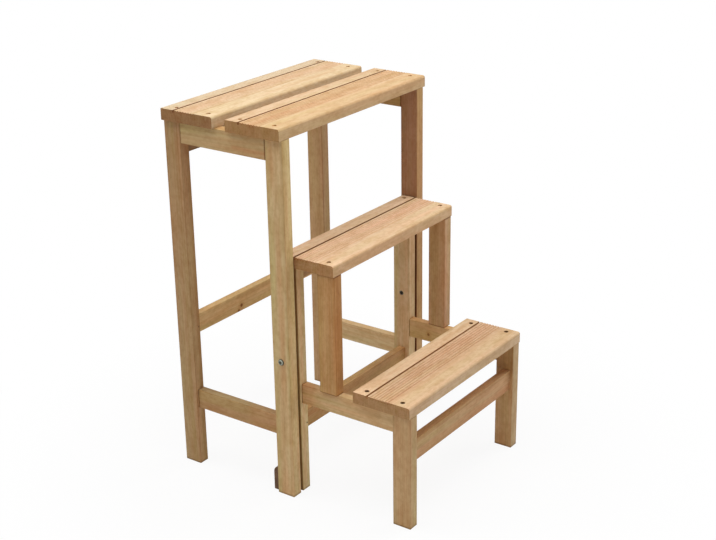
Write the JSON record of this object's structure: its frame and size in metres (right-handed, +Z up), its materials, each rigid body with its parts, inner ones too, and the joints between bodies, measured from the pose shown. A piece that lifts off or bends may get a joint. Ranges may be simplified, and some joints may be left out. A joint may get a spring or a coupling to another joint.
{
  "type": "folding step stool chair",
  "caption": "Wooden stool chair with a two-level step unit that swings out in front on two side bolts and folds back under the seat.",
  "frame": {"origin": "on the floor in the middle of the opened footprint", "axes": "+Z up, -Y towards the steps, +X to the right for someone who stands on the seat side and the steps point to -Y"},
  "size_m": [0.414, 0.465, 0.65],
  "materials": {
    "pine_board": "clear satin lacquer on pale pine",
    "pine_leg": "clear satin lacquer on pale pine",
    "pine_rail": "clear satin lacquer on pale pine",
    "beech_dowel": "bare beech",
    "stop_brown": "matt dark brown",
    "zinc_bolt": "bright zinc plate",
    "zinc_screw": "yellow zinc plate",
    "steel_pin": "dull steel",
    "nylon_washer": "natural nylon"
  },
  "bodies": {
    "stool_frame": {"foot_stop_left": "stop_brown", "foot_stop_right": "stop_brown", "foot_stop_screws": "zinc_screw", "pivot_bolt_left": "zinc_bolt", "pivot_bolt_right": "zinc_bolt", "pivot_nut_left": "zinc_bolt", "pivot_nut_right": "zinc_bolt", "pivot_washer_left": "nylon_washer", "pivot_washer_right": "nylon_washer", "rear_stretcher": "pine_rail", "seat_board_front": "pine_board", "seat_board_rear": "pine_board", "seat_rail_left": "pine_rail", "seat_rail_rear": "pine_rail", "seat_rail_right": "pine_rail", "seat_screws": "zinc_screw", "side_stretcher_left": "pine_rail", "side_stretcher_right": "pine_rail", "stool_leg_front_left": "pine_leg", "stool_leg_front_right": "pine_leg", "stool_leg_rear_left": "pine_leg", "stool_leg_rear_right": "pine_leg", "stool_tenon_pins": "steel_pin"},
    "step_unit": {"lower_tread": "pine_board", "middle_tread": "pine_board", "post_dowels": "beech_dowel", "step_front_leg_left": "pine_leg", "step_front_leg_right": "pine_leg", "step_front_stretcher": "pine_rail", "step_post_left": "pine_leg", "step_post_right": "pine_leg", "step_rear_leg_left": "pine_leg", "step_rear_leg_right": "pine_leg", "step_rear_stretcher": "pine_rail", "step_side_rail_left": "pine_rail", "step_side_rail_right": "pine_rail", "step_tenon_pins": "steel_pin", "step_upper_rail": "pine_rail", "tread_screws": "zinc_screw"}
  },
  "joints": [
    {"name": "step_fold", "type": "hinge", "parent": "stool_frame", "child": "step_unit", "pos_m": [0, 0.0045, 0.2505], "axis": [-1, 0, 0], "range_deg": [0, 180]}
  ]
}
